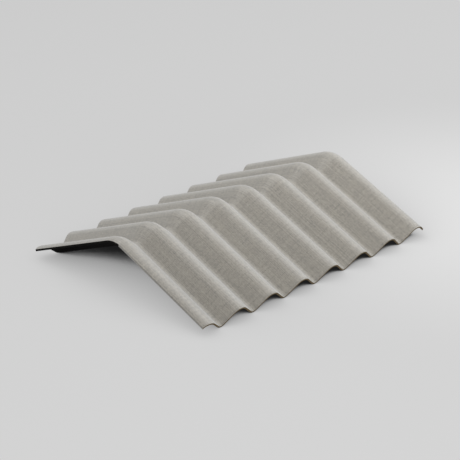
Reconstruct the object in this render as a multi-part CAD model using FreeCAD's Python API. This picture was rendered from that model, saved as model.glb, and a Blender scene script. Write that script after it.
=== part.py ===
import FreeCAD
import Part
import math
import os

# Roof ridge cap of fibre cement: one corrugated sheet, moulded to a cranked ridge.
# X runs along the ridge, Y across it, Z is up, and the origin is on the floor under the middle.
# Lengths are millimetres and angles are degrees.

# Wave of the sheet, with its radii at the middle of the thickness
pitch = 146.5
pitch_count = 7
wave_height = 47.0
crest_radius = 37.0
trough_radius = 18.3
thickness = 6.0

# Side laps: the first crest is lowered so that the next cap lies over it
lap_clearance = 1.0
underlap_radius = 50.0
underlap_edge = 18.0
overlap_edge = 42.5

# Ridge: two straight wings joined by a round bend
slope = 22.5
bend_radius = 84.0
wing_length = 403.0

half_thickness = thickness / 2
half_wave = wave_height / 2
underlap_drop = thickness + lap_clearance
slope_rad = math.radians(slope)

# Every flank has one angle, set by the pitch, the height and the radii that it joins.
radius_sum = crest_radius + trough_radius
root = math.sqrt(pitch ** 2 - 4 * wave_height * (2 * radius_sum - wave_height))
flank_angle = 2 * math.atan(2 * wave_height / (pitch + root))

# The lowered crest keeps that flank, so its middle lies a little inside the first pitch line.
underlap_reach = (underlap_radius + trough_radius) * math.tan(flank_angle / 2)
underlap_reach += (wave_height - underlap_drop) / math.tan(flank_angle)
underlap_crest = pitch / 2 - underlap_reach

overall_width = underlap_edge + pitch * pitch_count + overlap_edge
first_line = underlap_edge - overall_width / 2
ridge_height = (bend_radius * (1 - math.cos(slope_rad)) + wing_length * math.sin(slope_rad)
                + (half_wave + half_thickness) * math.cos(slope_rad))


def wave_turns():
    """Middle X, level and radius of each crest (+1) and trough (-1), from one hidden trough to the other."""
    turns = [(underlap_crest - underlap_reach, -half_wave, trough_radius, -1)]
    turns.append((underlap_crest, half_wave - underlap_drop, underlap_radius, 1))
    for wave in range(pitch_count):
        turns.append(((wave + 0.5) * pitch, -half_wave, trough_radius, -1))
        turns.append(((wave + 1) * pitch, half_wave, crest_radius, 1))
    turns.append(((pitch_count + 0.5) * pitch, -half_wave, trough_radius, -1))
    return turns


def wave_side(offset):
    """Edges of the wave at a distance from the middle of the sheet: arcs joined by tangent flanks."""
    def on_arc(turn, angle):
        x, level, radius, sign = turn
        centre = level - sign * radius
        reach = radius + sign * offset
        return FreeCAD.Vector(first_line + x + reach * math.sin(angle), 0,
                              ridge_height + centre + sign * reach * math.cos(angle))

    turns = wave_turns()
    edges = []
    last = None
    for number, turn in enumerate(turns):
        start = 0.0 if number == 0 else -flank_angle
        end = 0.0 if number == len(turns) - 1 else flank_angle
        arc = [on_arc(turn, angle) for angle in (start, (start + end) / 2, end)]
        if last:
            edges.append(Part.makeLine(last, arc[0]))
        edges.append(Part.Arc(*arc).toShape())
        last = arc[2]
    return edges, edges[0].valueAt(edges[0].FirstParameter), last


def wave_section():
    """Face of the sheet's section at the ridge, trimmed square at the underlap and the overlap."""
    top, top_start, top_end = wave_side(half_thickness)
    bottom, bottom_start, bottom_end = wave_side(-half_thickness)
    closing = [Part.makeLine(top_start, bottom_start), Part.makeLine(top_end, bottom_end)]
    band = Part.Face(Part.Wire(Part.__sortEdges__(top + bottom + closing)))

    margin = wave_height + thickness
    low = FreeCAD.Vector(first_line - underlap_edge, 0, ridge_height - margin)
    across = FreeCAD.Vector(overall_width, 0, 0)
    up = FreeCAD.Vector(0, 0, 2 * margin)
    trim = Part.Face(Part.makePolygon([low, low + across, low + across + up, low + up, low]))
    return band.common(trim).Faces[0]


def ridge_cap():
    """One sheet: the section turned about the bend, and drawn straight down each wing."""
    section = wave_section()
    along = FreeCAD.Vector(1, 0, 0)
    bend_centre = FreeCAD.Vector(0, 0, ridge_height - bend_radius)

    pieces = []
    for side in (1, -1):
        end = section.copy()
        end.rotate(bend_centre, along, side * slope)
        down = FreeCAD.Vector(0, -side * math.cos(slope_rad), -math.sin(slope_rad))
        pieces.append(end.extrude(down * wing_length))
        if side == 1:
            pieces.append(end.revolve(bend_centre, along, -2 * slope))
    sheet = pieces[0].fuse(pieces[1:]).removeSplitter()
    return sheet.Solids[0]


os.makedirs("parts", exist_ok=True)
cap = ridge_cap()
cap.exportStep("parts/ridge_cap.step")
box = cap.BoundBox
print("ridge_cap valid", cap.isValid(), "volume", round(cap.Volume), "faces", len(cap.Faces))
print("size", round(box.XLength, 2), round(box.YLength, 2), round(box.ZLength, 2), "floor", round(box.ZMin, 3))
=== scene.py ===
import bpy
import math
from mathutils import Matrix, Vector


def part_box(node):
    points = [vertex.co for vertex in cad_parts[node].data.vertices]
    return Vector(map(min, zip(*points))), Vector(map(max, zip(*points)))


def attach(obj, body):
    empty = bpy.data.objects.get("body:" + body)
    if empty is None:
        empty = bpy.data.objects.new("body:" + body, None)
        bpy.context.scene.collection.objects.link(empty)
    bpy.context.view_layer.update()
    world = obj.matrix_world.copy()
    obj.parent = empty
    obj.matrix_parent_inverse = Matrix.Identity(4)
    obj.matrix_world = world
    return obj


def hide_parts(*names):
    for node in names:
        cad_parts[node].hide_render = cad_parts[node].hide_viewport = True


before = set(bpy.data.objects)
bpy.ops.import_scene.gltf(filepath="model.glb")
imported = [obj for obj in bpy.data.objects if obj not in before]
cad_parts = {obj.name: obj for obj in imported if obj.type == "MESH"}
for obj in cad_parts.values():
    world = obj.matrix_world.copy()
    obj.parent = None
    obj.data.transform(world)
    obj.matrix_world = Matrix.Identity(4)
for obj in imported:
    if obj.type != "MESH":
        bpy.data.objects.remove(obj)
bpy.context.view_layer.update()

scene = bpy.context.scene
scene.view_settings.view_transform = "Standard"

# the pressed sheet, in metres and degrees; radii are at mid thickness
sheet = {
    "pitch": 0.1465,
    "waveHeight": 0.047,
    "crestRadius": 0.037,
    "troughRadius": 0.0183,
    "thickness": 0.006,
    "lapDrop": 0.007,       # how far the first crest is lowered
    "lapRadius": 0.050,     # inner half of that crest; its free half has the crest radius
    "lapEdge": 0.018,       # from the first pitch line out to the near edge
    "slope": 22.5,
    "bendRadius": 0.084,
    "wingLength": 0.403,
    "paintedShadeEdgeFrom": -0.02,  # painted shade: from here to the back, the side edges get the near-black underside colour
    "columnStep": 0.003,    # mesh spacing along the ridge
    "rowStep": 0.008,       # mesh spacing down the wings
    "layers": 3,            # rows of points through the thickness
    "arris": 0.0004,        # small bevel on the cut edges
    "arrisSegments": 2,
    "arrisAngle": 60.0,
    "sharpAngle": 27.0,
}


def putNode(tree, kind, inputs=None, **settings):
    node = tree.nodes.new(kind)
    for name, value in settings.items():
        setattr(node, name, value)
    for key, value in (inputs or {}).items():
        if isinstance(value, bpy.types.NodeSocket):
            tree.links.new(value, node.inputs[key])
        else:
            node.inputs[key].default_value = value
    return node


def calc(tree, operation, *values):
    node = putNode(tree, "ShaderNodeMath", dict(enumerate(values)), operation=operation)
    return node.outputs[0]


def pick(tree, share, plain, other):      # plain where share is 0, other where it is 1
    node = putNode(tree, "ShaderNodeMix", {0: share, 2: plain, 3: other}, data_type="FLOAT")
    return node.outputs[0]


# sizes that follow from the others
halfWave = sheet["waveHeight"] / 2
halfSheet = sheet["thickness"] / 2
slope = math.radians(sheet["slope"])
rootTerm = sheet["pitch"] ** 2 - 4 * sheet["waveHeight"] * (
    2 * (sheet["crestRadius"] + sheet["troughRadius"]) - sheet["waveHeight"])
flankAngle = 2 * math.atan(2 * sheet["waveHeight"] / (sheet["pitch"] + math.sqrt(rootTerm)))
lapReach = (sheet["lapRadius"] + sheet["troughRadius"]) * math.tan(flankAngle / 2)
lapReach += (sheet["waveHeight"] - sheet["lapDrop"]) / math.tan(flankAngle)
girth = 2 * (sheet["wingLength"] + sheet["bendRadius"] * slope)
capLow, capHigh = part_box("ridge_cap")
capWidth = capHigh.x - capLow.x
ridgeLevel = capHigh.z - halfWave - halfSheet


def sheetTree(materials):
    tree = bpy.data.node_groups.new("pressedSheet", "GeometryNodeTree")
    floats = ("Width", "Girth", "Thickness", "First Line", "Pitch", "Wave Height", "Crest Radius",
              "Trough Radius", "Flank Angle", "Lap Drop", "Lap Radius", "Lap Reach", "Slope", "Bend Radius",
              "Ridge Level", "Painted Shade Edge From")
    for name in floats:
        tree.interface.new_socket(name=name, in_out="INPUT", socket_type="NodeSocketFloat")
    for name in ("Columns", "Rows", "Layers"):
        tree.interface.new_socket(name=name, in_out="INPUT", socket_type="NodeSocketInt")
    tree.interface.new_socket(name="Sheet", in_out="OUTPUT", socket_type="NodeSocketGeometry")
    size = putNode(tree, "NodeGroupInput").outputs

    def m(operation, *values):
        return calc(tree, operation, *values)

    # a flat slab, with its own coordinates and its cut edges kept for the finish
    slabSize = putNode(tree, "ShaderNodeCombineXYZ", {
        0: size["Width"], 1: size["Girth"], 2: size["Thickness"]})
    slab = putNode(tree, "GeometryNodeMeshCube", {
        "Size": slabSize.outputs[0], "Vertices X": size["Columns"],
        "Vertices Y": size["Rows"], "Vertices Z": size["Layers"]})
    flat = putNode(tree, "GeometryNodeInputPosition").outputs[0]
    along, down, layer = putNode(tree, "ShaderNodeSeparateXYZ", {0: flat}).outputs
    normal = putNode(tree, "GeometryNodeInputNormal").outputs[0]
    facing = putNode(tree, "ShaderNodeSeparateXYZ", {0: normal}).outputs
    mainly = 0.5                          # a normal with more than this looks along that axis
    isRim = m("GREATER_THAN", m("ABSOLUTE", facing[1]), mainly)
    isSide = m("GREATER_THAN", m("ABSOLUTE", facing[0]), mainly)
    isUnder = m("LESS_THAN", facing[2], -mainly)
    isBackWing = m("GREATER_THAN", down, size["Painted Shade Edge From"])
    # painted shade: the underside and the back wing's side edges are marked for the near-black finish
    isPaintedShade = m("MAXIMUM", isUnder, m("MULTIPLY", isSide, isBackWing))

    def keep(shape, name, value, kind, domain):
        node = putNode(tree, "GeometryNodeStoreNamedAttribute", {
            "Geometry": shape, "Name": name, "Value": value}, data_type=kind, domain=domain)
        return node.outputs[0]

    shape = keep(slab.outputs["Mesh"], "cutEdge", isRim, "FLOAT", "FACE")
    shape = keep(shape, "underside", isPaintedShade, "FLOAT", "FACE")

    # the wave: crest arc, straight flank and trough arc, offset by the layer's place in the thickness
    fromFirst = m("SUBTRACT", along, size["First Line"])
    halfPitch = m("DIVIDE", size["Pitch"], 2.0)
    isLap = m("LESS_THAN", fromFirst, halfPitch)
    lapMiddle = m("SUBTRACT", halfPitch, size["Lap Reach"])
    fromCrest = pick(tree, isLap, m("PINGPONG", fromFirst, halfPitch),
                     m("ABSOLUTE", m("SUBTRACT", fromFirst, lapMiddle)))
    reach = pick(tree, isLap, halfPitch, size["Lap Reach"])
    isWide = m("MULTIPLY", isLap, m("GREATER_THAN", fromFirst, lapMiddle))    # inner half of the lap
    crestRound = pick(tree, isWide, size["Crest Radius"], size["Lap Radius"])
    crestArc = m("ADD", crestRound, layer)
    troughArc = m("SUBTRACT", size["Trough Radius"], layer)
    halfHeight = m("DIVIDE", size["Wave Height"], 2.0)
    top = m("SUBTRACT", m("ADD", halfHeight, layer), m("MULTIPLY", size["Lap Drop"], isLap))
    bottom = m("SUBTRACT", layer, halfHeight)
    fromTrough = m("SUBTRACT", reach, fromCrest)

    def roundOff(radius, distance):       # height of an arc over its own centre
        inside = m("SUBTRACT", m("MULTIPLY", radius, radius), m("MULTIPLY", distance, distance))
        return m("SQRT", m("MAXIMUM", inside, 0.0))

    sine, cosine = m("SINE", size["Flank Angle"]), m("COSINE", size["Flank Angle"])
    arcEnd = m("MULTIPLY", crestArc, sine)
    crestLevel = m("ADD", m("SUBTRACT", top, crestArc), roundOff(crestArc, fromCrest))
    flankTop = m("SUBTRACT", top, m("MULTIPLY", crestArc, m("SUBTRACT", 1.0, cosine)))
    flankFall = m("MULTIPLY", m("SUBTRACT", fromCrest, arcEnd), m("TANGENT", size["Flank Angle"]))
    flankLevel = m("SUBTRACT", flankTop, flankFall)
    troughLevel = m("SUBTRACT", m("ADD", bottom, troughArc), roundOff(troughArc, fromTrough))
    inTrough = m("LESS_THAN", fromTrough, m("MULTIPLY", troughArc, sine))
    onCrest = m("LESS_THAN", fromCrest, arcEnd)
    level = pick(tree, onCrest, pick(tree, inTrough, flankLevel, troughLevel), crestLevel)

    # the sheet was flat before it was pressed, so the finish follows the length round the wave
    def arcLength(radius, distance):
        return m("MULTIPLY", radius, m("ARCSINE", m("MINIMUM", m("DIVIDE", distance, radius), 1.0)))

    def halfWaveLength(radius, span):
        rounds = m("ADD", radius, size["Trough Radius"])
        straight = m("DIVIDE", m("SUBTRACT", span, m("MULTIPLY", rounds, sine)), cosine)
        return m("ADD", m("MULTIPLY", rounds, size["Flank Angle"]), straight)

    plainLength = halfWaveLength(size["Crest Radius"], halfPitch)
    ownLength = pick(tree, isLap, plainLength, halfWaveLength(size["Lap Radius"], size["Lap Reach"]))
    onFlank = m("ADD", m("MULTIPLY", crestRound, size["Flank Angle"]),
                m("DIVIDE", m("SUBTRACT", fromCrest, m("MULTIPLY", crestRound, sine)), cosine))
    onTrough = m("SUBTRACT", ownLength, arcLength(size["Trough Radius"], fromTrough))
    roundCrest = m("LESS_THAN", fromCrest, m("MULTIPLY", crestRound, sine))
    roundTrough = m("LESS_THAN", fromTrough, m("MULTIPLY", size["Trough Radius"], sine))
    wayDown = pick(tree, roundCrest, pick(tree, roundTrough, onFlank, onTrough),
                   arcLength(crestRound, fromCrest))
    crestNumber = m("ROUND", m("DIVIDE", fromFirst, size["Pitch"]))
    crestPlace = pick(tree, isLap, m("MULTIPLY", crestNumber, size["Pitch"]), lapMiddle)
    side = m("SIGN", m("SUBTRACT", fromFirst, crestPlace))
    crestStart = pick(tree, isLap, m("MULTIPLY", m("MULTIPLY", crestNumber, plainLength), 2.0),
                      m("SUBTRACT", plainLength, ownLength))
    unrolled = m("ADD", crestStart, m("MULTIPLY", side, wayDown))
    flatPlace = putNode(tree, "ShaderNodeCombineXYZ", {0: unrolled, 1: down, 2: layer})
    shape = keep(shape, "slab", flatPlace.outputs[0], "FLOAT_VECTOR", "POINT")

    # the crank: rows inside the bend turn about its axis, the rest run straight down the wings
    frontSlope = m("MULTIPLY", size["Slope"], -1.0)
    turn = m("MINIMUM", m("MAXIMUM", m("DIVIDE", down, size["Bend Radius"]), frontSlope), size["Slope"])
    straight = m("SUBTRACT", down, m("MULTIPLY", turn, size["Bend Radius"]))
    arm = m("ADD", size["Bend Radius"], level)
    sineTurn, cosineTurn = m("SINE", turn), m("COSINE", turn)
    across = m("ADD", m("MULTIPLY", arm, sineTurn), m("MULTIPLY", straight, cosineTurn))
    drop = m("ADD", size["Bend Radius"], m("MULTIPLY", straight, sineTurn))
    height = m("ADD", size["Ridge Level"], m("SUBTRACT", m("MULTIPLY", arm, cosineTurn), drop))
    pressed = putNode(tree, "ShaderNodeCombineXYZ", {0: along, 1: across, 2: height})
    placed = putNode(tree, "GeometryNodeSetPosition", {
        "Geometry": shape, "Position": pressed.outputs[0]})

    real = putNode(tree, "GeometryNodeRealizeInstances", {"Geometry": placed.outputs[0]})
    finished = putNode(tree, "GeometryNodeSetMaterial", {
        "Geometry": real.outputs[0], "Material": materials["face"]}).outputs[0]
    for mark, material in (("cutEdge", materials["edge"]), ("underside", materials["back"])):
        chosen = putNode(tree, "GeometryNodeInputNamedAttribute", {"Name": mark}, data_type="FLOAT")
        finished = putNode(tree, "GeometryNodeSetMaterial", {
            "Geometry": finished, "Selection": chosen.outputs[0], "Material": material}).outputs[0]
    putNode(tree, "NodeGroupOutput", {0: finished})
    return tree


def makeSheet(materials):
    tree = sheetTree(materials)
    values = {
        "Width": capWidth,
        "Girth": girth,
        "Thickness": sheet["thickness"],
        "First Line": capLow.x + sheet["lapEdge"],
        "Pitch": sheet["pitch"],
        "Wave Height": sheet["waveHeight"],
        "Crest Radius": sheet["crestRadius"],
        "Trough Radius": sheet["troughRadius"],
        "Flank Angle": flankAngle,
        "Lap Drop": sheet["lapDrop"],
        "Lap Radius": sheet["lapRadius"],
        "Lap Reach": lapReach,
        "Slope": slope,
        "Bend Radius": sheet["bendRadius"],
        "Ridge Level": ridgeLevel,
        "Painted Shade Edge From": sheet["paintedShadeEdgeFrom"],
        "Columns": round(capWidth / sheet["columnStep"]) + 1,
        "Rows": round(girth / sheet["rowStep"]) + 1,
        "Layers": sheet["layers"],
    }
    maker = bpy.data.objects.new("sheetMaker", bpy.data.meshes.new("sheetMaker"))
    scene.collection.objects.link(maker)
    pressing = maker.modifiers.new("pressing", "NODES")
    pressing.node_group = tree
    for item in tree.interface.items_tree:
        if item.in_out == "INPUT":
            pressing[item.identifier] = values[item.name]
    easing = maker.modifiers.new("arris", "BEVEL")
    easing.width = sheet["arris"]
    easing.segments = sheet["arrisSegments"]
    easing.limit_method = "ANGLE"
    easing.angle_limit = math.radians(sheet["arrisAngle"])

    mesh = bpy.data.meshes.new_from_object(maker.evaluated_get(bpy.context.evaluated_depsgraph_get()))
    bpy.data.objects.remove(maker)
    mesh.name = "ridgeCapSheet"
    mesh.shade_smooth()
    mesh.set_sharp_from_angle(angle=math.radians(sheet["sharpAngle"]))
    piece = bpy.data.objects.new("ridgeCapSheet", mesh)
    scene.collection.objects.link(piece)
    print("sheet pressed:", len(mesh.vertices), "points,", len(mesh.loop_triangles), "triangles")
    return piece


def newMaterial(name):
    material = bpy.data.materials.new(name)
    material.use_nodes = True
    tree = material.node_tree
    return material, tree, tree.nodes["Principled BSDF"]


def newGroup(name, inputs, outputs):      # inputs: name -> default, a number or a vector
    group = bpy.data.node_groups.new(name, "ShaderNodeTree")
    for label, value in inputs.items():
        kind = "NodeSocketVector" if isinstance(value, tuple) else "NodeSocketFloat"
        group.interface.new_socket(name=label, in_out="INPUT", socket_type=kind).default_value = value
    for label in outputs:
        group.interface.new_socket(name=label, in_out="OUTPUT", socket_type="NodeSocketFloat")
    return group, putNode(group, "NodeGroupInput").outputs


def spread(tree, place, sizes, shift=0.0):    # slab coordinates counted in the given sizes
    parts = putNode(tree, "ShaderNodeSeparateXYZ", {0: place}).outputs
    scaled = [calc(tree, "ADD", calc(tree, "DIVIDE", part, size), shift) for part, size in zip(parts, sizes)]
    return putNode(tree, "ShaderNodeCombineXYZ", dict(enumerate(scaled))).outputs[0]


def noise(tree, place, detail, roughness):
    node = putNode(tree, "ShaderNodeTexNoise", {
        "Vector": place, "Scale": 1.0, "Detail": detail, "Roughness": roughness})
    return node.outputs[0]


def centred(tree, value):                 # a value from 0 to 1, counted from its middle
    return calc(tree, "SUBTRACT", value, 0.5)


# how the threads of the press cloth differ from each other, on both faces
weave = {
    "neighbourPress": -0.2,     # a thick thread presses its neighbours thin
    "threadsApart": 7.31,       # keeps the threads apart in the noise
    "slubDetail": 1.0,
    "slubRoughness": 0.5,
    "yarnStartDraw": 3.0,       # this and the next keep two random draws apart
    "yarnToneDraw": 5.0,
    "gapClosed": -0.15,         # the gap between threads opens from here to the next
    "gapOpen": 0.15,
}

# inputs of the cloth group, and the value of a look that sets each
clothInputs = {
    "Warp Thread": "warpThread",
    "Dash": "dash",
    "Weft Thread": "weftThread",
    "Weft Slub": "weftSlub",
    "Yarn": "yarn",
    "Yarn Dash": "yarnDash",
    "Gap Pitch": "gapPitch",
    "Gap Width": "gapWidth",
    "Gap Slub": "gapSlub",
    "Shift": "shift",
}

# marks of the cloth, and the value of a look that says how strong each is
clothMarks = {
    "Line": "lineContrast",
    "Dash": "dashContrast",
    "Weft": "weftContrast",
    "Yarn": "yarnContrast",
    "Gap": "gapContrast",
}


def linenMarks():
    defaults = {label: faceLook[key] for label, key in clothInputs.items()}
    group, given = newGroup("linenMarks", {"Slab": (0.0, 0.0, 0.0), **defaults}, (*clothMarks, "Relief"))
    parts = putNode(group, "ShaderNodeSeparateXYZ", {0: given["Slab"]}).outputs

    def m(operation, *values):
        return calc(group, operation, *values)

    def random(*counts):                  # one number from -0.5 to 0.5 for each thread or dash
        place = putNode(group, "ShaderNodeCombineXYZ", dict(enumerate(counts))).outputs[0]
        return centred(group, putNode(group, "ShaderNodeTexWhiteNoise", {"Vector": place}).outputs["Value"])

    def slub(count, length):              # each thread thickens and thins along its own length
        own = m("ADD", m("MULTIPLY", count, weave["threadsApart"]), given["Shift"])
        place = putNode(group, "ShaderNodeCombineXYZ", {0: own, 1: m("DIVIDE", parts[0], length)}).outputs[0]
        return centred(group, noise(group, place, weave["slubDetail"], weave["slubRoughness"]))

    warpPlace = m("DIVIDE", parts[0], given["Warp Thread"])
    warpCount = m("ADD", m("FLOOR", warpPlace), given["Shift"])
    beside = m("ADD", random(m("SUBTRACT", warpCount, 1.0)), random(m("ADD", warpCount, 1.0)))
    line = m("MULTIPLY_ADD", beside, weave["neighbourPress"], random(warpCount))
    dash = random(warpCount, m("FLOOR", m("ADD", m("DIVIDE", parts[1], given["Dash"]), line)))
    weftPlace = m("DIVIDE", parts[1], given["Weft Thread"])
    weft = slub(m("FLOOR", weftPlace), given["Weft Slub"])
    yarnPlace = m("DIVIDE", parts[1], given["Yarn"])
    yarnCount = m("ADD", m("FLOOR", yarnPlace), given["Shift"])
    yarnStart = m("ADD", m("DIVIDE", parts[0], given["Yarn Dash"]),
                  random(yarnCount, weave["yarnStartDraw"]))
    yarnRound = m("ABSOLUTE", m("SINE", m("MULTIPLY", yarnPlace, math.pi)))
    yarn = m("MULTIPLY", random(yarnCount, m("FLOOR", yarnStart), weave["yarnToneDraw"]), yarnRound)

    # a thin gap between every few weft threads, open in some places and closed in others
    gapPlace = m("DIVIDE", parts[1], given["Gap Pitch"])
    fromGap = m("MULTIPLY", m("ABSOLUTE", centred(group, m("FRACT", gapPlace))), given["Gap Pitch"])
    narrow = putNode(group, "ShaderNodeMapRange", {
        "Value": fromGap, "From Min": m("DIVIDE", given["Gap Width"], 2.0), "From Max": 0.0},
        interpolation_type="SMOOTHSTEP").outputs[0]
    isOpen = putNode(group, "ShaderNodeMapRange", {
        "Value": slub(m("FLOOR", gapPlace), given["Gap Slub"]),
        "From Min": weave["gapClosed"], "From Max": weave["gapOpen"]}).outputs[0]

    warp, weftRound = [m("SINE", m("MULTIPLY", place, math.pi)) for place in (warpPlace, weftPlace)]
    warpRound = m("ABSOLUTE", warp)
    warpOnTop = m("GREATER_THAN", m("MULTIPLY", warp, weftRound), 0.0)
    relief = pick(group, warpOnTop, m("ABSOLUTE", weftRound), warpRound)
    putNode(group, "NodeGroupOutput", {
        "Line": m("MULTIPLY", line, warpRound), "Dash": m("MULTIPLY", dash, warpRound), "Weft": weft,
        "Yarn": yarn, "Gap": m("MULTIPLY", narrow, isOpen), "Relief": relief})
    return group


# grain and clouds of the cement, on every face
cementNoise = {
    "grainDetail": 3.0,
    "grainRoughness": 0.6,
    "cloudDetail": 2.0,
    "cloudRoughness": 0.5,
    "cloudShift": 3.7,          # keeps the clouds apart from the grain
}


def cementGrain():
    group, given = newGroup("cementGrain", {
        "Slab": (0.0, 0.0, 0.0), "Grain": faceLook["grain"], "Cloud": faceLook["cloud"]}, ("Grain", "Cloud"))
    grainPlace = spread(group, given["Slab"], (given["Grain"],) * 3)
    grain = noise(group, grainPlace, cementNoise["grainDetail"], cementNoise["grainRoughness"])
    cloudPlace = spread(group, given["Slab"], (given["Cloud"],) * 3, cementNoise["cloudShift"])
    cloud = noise(group, cloudPlace, cementNoise["cloudDetail"], cementNoise["cloudRoughness"])
    putNode(group, "NodeGroupOutput", {"Grain": grain, "Cloud": cloud})
    return group


def mixColour(tree, share, plain, other, blend="MIX"):
    node = putNode(tree, "ShaderNodeMix", {0: share, 6: plain, 7: other}, data_type="RGBA", blend_type=blend)
    return node.outputs[2]


def slabPlace(tree):
    return putNode(tree, "ShaderNodeAttribute", attribute_name="slab").outputs["Vector"]


def shaded(tree, colour, tone, contrast=1.0):     # colour made lighter or darker by a tone around 0
    factor = calc(tree, "MULTIPLY_ADD", tone, contrast, 1.0)
    grey = putNode(tree, "ShaderNodeCombineColor", {0: factor, 1: factor, 2: factor}).outputs[0]
    return mixColour(tree, 1.0, colour, grey, "MULTIPLY")


def clothOn(tree, linen, place, look):
    sizes = {label: look[key] for label, key in clothInputs.items()}
    return putNode(tree, "ShaderNodeGroup", {"Slab": place, **sizes}, node_tree=linen).outputs


def clothTone(tree, cloth, look):
    tone = 0.0
    for mark, contrast in clothMarks.items():
        tone = calc(tree, "MULTIPLY_ADD", cloth[mark], look[contrast], tone)
    return tone


def cementOn(tree, grainy, place, look):
    return putNode(tree, "ShaderNodeGroup", {
        "Slab": place, "Grain": look["grain"], "Cloud": look["cloud"]}, node_tree=grainy).outputs


def finishSurface(tree, surface, look, colour, roughTone, height):
    tree.links.new(colour, surface.inputs["Base Color"])
    smoothest = look["roughness"] - look["roughnessSpread"] / 2
    rough = calc(tree, "MULTIPLY_ADD", roughTone, look["roughnessSpread"], smoothest)
    tree.links.new(rough, surface.inputs["Roughness"])
    bump = putNode(tree, "ShaderNodeBump", {
        "Strength": look["bump"], "Distance": look["bumpHeight"], "Height": height})
    tree.links.new(bump.outputs[0], surface.inputs["Normal"])


# pale top face; colours are linear, lengths metres
faceLook = {
    "warm": (0.258, 0.2325, 0.188, 1.0),
    "cool": (0.254, 0.2315, 0.192, 1.0),
    "sheen": 0.50,              # fine dust that pales the face at low angles
    "sheenRoughness": 0.7,
    "sheenTint": (0.93, 0.965, 1.0, 1.0),
    "gloss": 0.6,
    "warpThread": 0.0020,
    "lineContrast": 0.52,
    "dash": 0.0055,
    "dashContrast": 0.60,
    "weftThread": 0.0091,
    "weftSlub": 0.045,
    "weftContrast": 0.19,
    "yarn": 0.0036,
    "yarnDash": 0.022,
    "yarnContrast": 0.13,
    "gapPitch": 0.01825,
    "gapWidth": 0.0045,
    "gapSlub": 0.020,
    "gapContrast": -0.27,
    "shift": 0.0,               # another number draws other threads
    "grain": 0.0015,
    "grainContrast": 0.06,
    "cloud": 0.05,
    "roughness": 0.45,
    "roughnessSpread": 0.10,
    "bump": 0.15,
    "bumpHeight": 0.0002,
}


def cementFace(linen, grainy):
    material, tree, surface = newMaterial("cementFace")
    look = faceLook
    surface.inputs["Sheen Weight"].default_value = look["sheen"]
    surface.inputs["Sheen Roughness"].default_value = look["sheenRoughness"]
    surface.inputs["Sheen Tint"].default_value = look["sheenTint"]
    surface.inputs["Specular IOR Level"].default_value = look["gloss"]
    place = slabPlace(tree)
    cloth = clothOn(tree, linen, place, look)
    cement = cementOn(tree, grainy, place, look)
    tone = clothTone(tree, cloth, look)
    colour = shaded(tree, mixColour(tree, cement["Cloud"], look["warm"], look["cool"]), tone)
    colour = shaded(tree, colour, centred(tree, cement["Grain"]), look["grainContrast"])
    height = calc(tree, "ADD", cloth["Relief"], calc(tree, "ADD", tone, cement["Grain"]))
    finishSurface(tree, surface, look, colour, cement["Grain"], height)
    return material


# brown cut edge, with the plies of the board showing
edgeLook = {
    "light": (0.134, 0.095, 0.044, 1.0),
    "dark": (0.079, 0.052, 0.021, 1.0),
    "plyLength": 0.040,
    "ply": 0.0008,
    "plyDetail": 2.0,
    "plyRoughness": 0.5,
    "grain": 0.0012,
    "cloud": 0.03,
    "grainContrast": 0.25,
    "roughness": 0.90,
    "roughnessSpread": 0.10,
    "bump": 0.5,
    "bumpHeight": 0.0004,
}


def cementEdge(grainy):
    material, tree, surface = newMaterial("cementEdge")
    look = edgeLook
    place = slabPlace(tree)
    cement = cementOn(tree, grainy, place, look)
    plyPlace = spread(tree, place, (look["plyLength"], look["plyLength"], look["ply"]))
    ply = noise(tree, plyPlace, look["plyDetail"], look["plyRoughness"])
    colour = mixColour(tree, ply, look["dark"], look["light"])
    colour = shaded(tree, colour, centred(tree, cement["Grain"]), look["grainContrast"])
    finishSurface(tree, surface, look, colour, cement["Cloud"], calc(tree, "ADD", ply, cement["Grain"]))
    return material


# underside and the back wing's side edges: a near-black colour that is painted shade, with coarser cloth
# marks
backLook = {
    "light": (0.016, 0.0152, 0.0144, 1.0),
    "dark": (0.008, 0.0076, 0.0072, 1.0),
    "gloss": 0.02,
    "warpThread": 0.0030,
    "lineContrast": 0.30,
    "dash": 0.011,
    "dashContrast": 0.30,
    "weftThread": 0.0120,
    "weftSlub": 0.050,
    "weftContrast": 0.30,
    "yarn": 0.0050,
    "yarnDash": 0.030,
    "yarnContrast": 0.15,
    "gapPitch": 0.024,
    "gapWidth": 0.0060,
    "gapSlub": 0.030,
    "gapContrast": -0.25,
    "shift": 11.0,              # other threads than the face has
    "grain": 0.0030,
    "cloud": 0.08,
    "roughness": 0.90,
    "roughnessSpread": 0.12,
    "bump": 0.35,
    "bumpHeight": 0.0006,
}


def cementBack(linen, grainy):
    material, tree, surface = newMaterial("cementBack")
    look = backLook
    surface.inputs["Specular IOR Level"].default_value = look["gloss"]
    place = slabPlace(tree)
    cloth = clothOn(tree, linen, place, look)
    cement = cementOn(tree, grainy, place, look)
    # painted shade: near-black colour for the underside and the back side edges
    colour = mixColour(tree, cement["Cloud"], look["dark"], look["light"])
    colour = shaded(tree, colour, clothTone(tree, cloth, look))
    height = calc(tree, "ADD", cloth["Relief"], cement["Grain"])
    finishSurface(tree, surface, look, colour, cement["Grain"], height)
    return material


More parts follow.
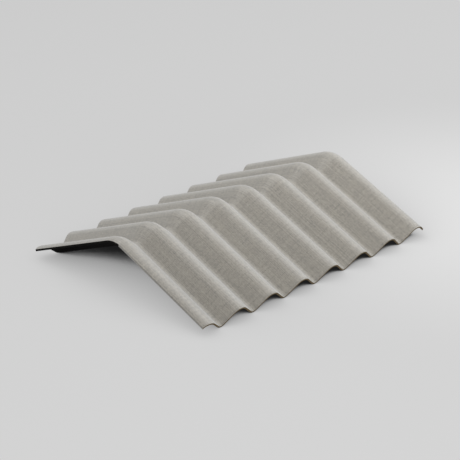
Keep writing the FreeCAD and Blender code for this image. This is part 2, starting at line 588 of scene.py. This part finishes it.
# plain floor, soft light and the camera at the photograph's angle
studio = {
    "floorColour": (0.62, 0.62, 0.62, 1.0),
    "floorRoughness": 1.0,
    "floorGloss": 0.0,
    "floorSide": 60.0,
    "floorFront": (-1.5, 0.663),     # place across the ridge, and the level seen there; 1 is white
    "floorBack": (3.0, 0.603),
    "spotTone": 0.14,           # painted pool of light: tone added in the bright patch of the floor
    "spotPlace": (0.92, -0.44, 0.0),
    "spotReach": 1.25,
    "shadowReach": 1.5,
    "shadowFrom": (-0.565, -0.100, 0.819),   # the soft shadow falls away from this side
    "shadowStart": 0.23,        # openness at which the shadow is deepest
    "shadowCurve": (            # openness from there up to 1, and the share of light left
        (0.0, 0.018), (0.03, 0.07), (0.08, 0.36), (0.11, 0.48), (0.16, 0.56), (0.62, 0.83), (1.0, 1.0)),
    "shadowRays": 64,
    "worldColour": (1.0, 1.0, 1.0, 1.0),
    "worldLight": 0.47,
    "azimuth": -45.116,
    "elevation": 24.332,
    "distance": 5.7724,
    "target": (-0.10599, -0.09212, 0.12978),
    "lens": 134.23,
    "sensor": 36.0,
    "lampSide": 2.0,
    "lampAim": (0.0, 0.0, 0.1),
    "lamps": {                  # place and watts
        "rightLight": ((1.97, 0.0, 1.38), 11.0),
        "upperRightLight": ((1.20, 0.0, 2.08), 15.0),
        "backLight": ((0.0, 1.75, 3.03), 27.0),
        "upperBackLight": ((-1.24, 1.24, 3.03), 26.0),
        "frontLight": ((0.7, -3.33, 1.05), 37.0),
    },
}


def seenDirectly(tree):       # 1 for what the camera sees, also through gloss or glass
    path = putNode(tree, "ShaderNodeLightPath").outputs
    return calc(tree, "MAXIMUM", path["Is Camera Ray"],
                calc(tree, "MAXIMUM", path["Is Glossy Ray"], path["Is Transmission Ray"]))


def floorShadow(tree):        # share of light left by the soft shadow of the object
    towards = putNode(tree, "ShaderNodeCombineXYZ", dict(enumerate(studio["shadowFrom"])))
    openness = putNode(tree, "ShaderNodeAmbientOcclusion", {
        "Distance": studio["shadowReach"], "Normal": towards.outputs[0]}, samples=studio["shadowRays"])
    lit = putNode(tree, "ShaderNodeMapRange", {
        "Value": openness.outputs["AO"], "From Min": studio["shadowStart"]}, clamp=True).outputs[0]
    fallOff = putNode(tree, "ShaderNodeFloatCurve", {"Value": lit})
    first, *between, last = studio["shadowCurve"]
    points = fallOff.mapping.curves[0].points
    points[0].location, points[1].location = first, last
    for opennessLeft, light in between:
        points.new(opennessLeft, light)
    fallOff.mapping.update()
    return fallOff.outputs[0]


def floorTone(tree):          # painted light: a pale tone that changes from front to back, with a brighter painted pool of light
    place = putNode(tree, "ShaderNodeTexCoord").outputs["Object"]
    away = putNode(tree, "ShaderNodeVectorMath", {0: place, 1: studio["spotPlace"]}, operation="DISTANCE")
    patch = putNode(tree, "ShaderNodeMapRange", {
        "Value": away.outputs["Value"], "From Min": studio["spotReach"], "From Max": 0.0},
        interpolation_type="SMOOTHSTEP").outputs[0]
    (front, nearTone), (rear, farTone) = studio["floorFront"], studio["floorBack"]
    across = putNode(tree, "ShaderNodeSeparateXYZ", {0: place}).outputs[1]
    plain = putNode(tree, "ShaderNodeMapRange", {
        "Value": across, "From Min": front, "From Max": rear,
        "To Min": nearTone, "To Max": farTone}, clamp=True).outputs[0]
    return calc(tree, "MULTIPLY_ADD", patch, studio["spotTone"], plain)


def makeFloor():
    half = studio["floorSide"] / 2
    corners = [(-half, -half, 0), (half, -half, 0), (half, half, 0), (-half, half, 0)]
    mesh = bpy.data.meshes.new("studioFloor")
    mesh.from_pydata(corners, [], [(0, 1, 2, 3)])
    floor = bpy.data.objects.new("studioFloor", mesh)
    scene.collection.objects.link(floor)
    material, tree, surface = newMaterial("studioFloor")
    surface.inputs["Base Color"].default_value = studio["floorColour"]
    surface.inputs["Roughness"].default_value = studio["floorRoughness"]
    surface.inputs["Specular IOR Level"].default_value = studio["floorGloss"]

    # the camera sees a glowing tone with painted light and a painted soft shadow, and the object is lit by a
    # plain pale floor
    glow = putNode(tree, "ShaderNodeEmission", {
        "Strength": calc(tree, "MULTIPLY", floorTone(tree), floorShadow(tree))})
    both = putNode(tree, "ShaderNodeMixShader", {
        0: seenDirectly(tree), 1: surface.outputs[0], 2: glow.outputs[0]})
    below = putNode(tree, "ShaderNodeNewGeometry").outputs["Backfacing"]    # clear when seen from below
    clear = putNode(tree, "ShaderNodeBsdfTransparent")
    oneWay = putNode(tree, "ShaderNodeMixShader", {0: below, 1: both.outputs[0], 2: clear.outputs[0]})
    tree.links.new(oneWay.outputs[0], tree.nodes["Material Output"].inputs["Surface"])
    material.cycles.emission_sampling = "NONE"
    mesh.materials.append(material)


def makeWorld():
    world = bpy.data.worlds.new("studioWorld")
    world.use_nodes = True
    scene.world = world
    back = world.node_tree.nodes["Background"]
    back.inputs["Color"].default_value = studio["worldColour"]
    back.inputs["Strength"].default_value = studio["worldLight"]


def makeCamera():
    azimuth, elevation = math.radians(studio["azimuth"]), math.radians(studio["elevation"])
    back = Vector((math.sin(azimuth) * math.cos(elevation), -math.cos(azimuth) * math.cos(elevation),
                   math.sin(elevation)))
    data = bpy.data.cameras.new("photoCamera")
    data.lens = studio["lens"]
    data.sensor_width = studio["sensor"]
    camera = bpy.data.objects.new("photoCamera", data)
    camera.location = Vector(studio["target"]) + back * studio["distance"]
    camera.rotation_euler = (-back).to_track_quat("-Z", "Y").to_euler()
    scene.collection.objects.link(camera)
    scene.camera = camera


def softLight(name, place, power):
    data = bpy.data.lights.new(name, "AREA")
    data.shape = "SQUARE"
    data.size = studio["lampSide"]
    data.energy = power
    lamp = bpy.data.objects.new(name, data)
    lamp.location = place
    lamp.rotation_euler = (Vector(studio["lampAim"]) - Vector(place)).to_track_quat("-Z", "Y").to_euler()
    scene.collection.objects.link(lamp)


linen, grainy = linenMarks(), cementGrain()
materials = {
    "face": cementFace(linen, grainy),
    "edge": cementEdge(grainy),
    "back": cementBack(linen, grainy),
}
print("finishes ready:", ", ".join(material.name for material in materials.values()))
cap = makeSheet(materials)
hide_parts("ridge_cap")
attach(cap, "root")
makeFloor()
makeWorld()
makeCamera()
for name, (place, power) in studio["lamps"].items():
    softLight(name, place, power)
print("studio ready")
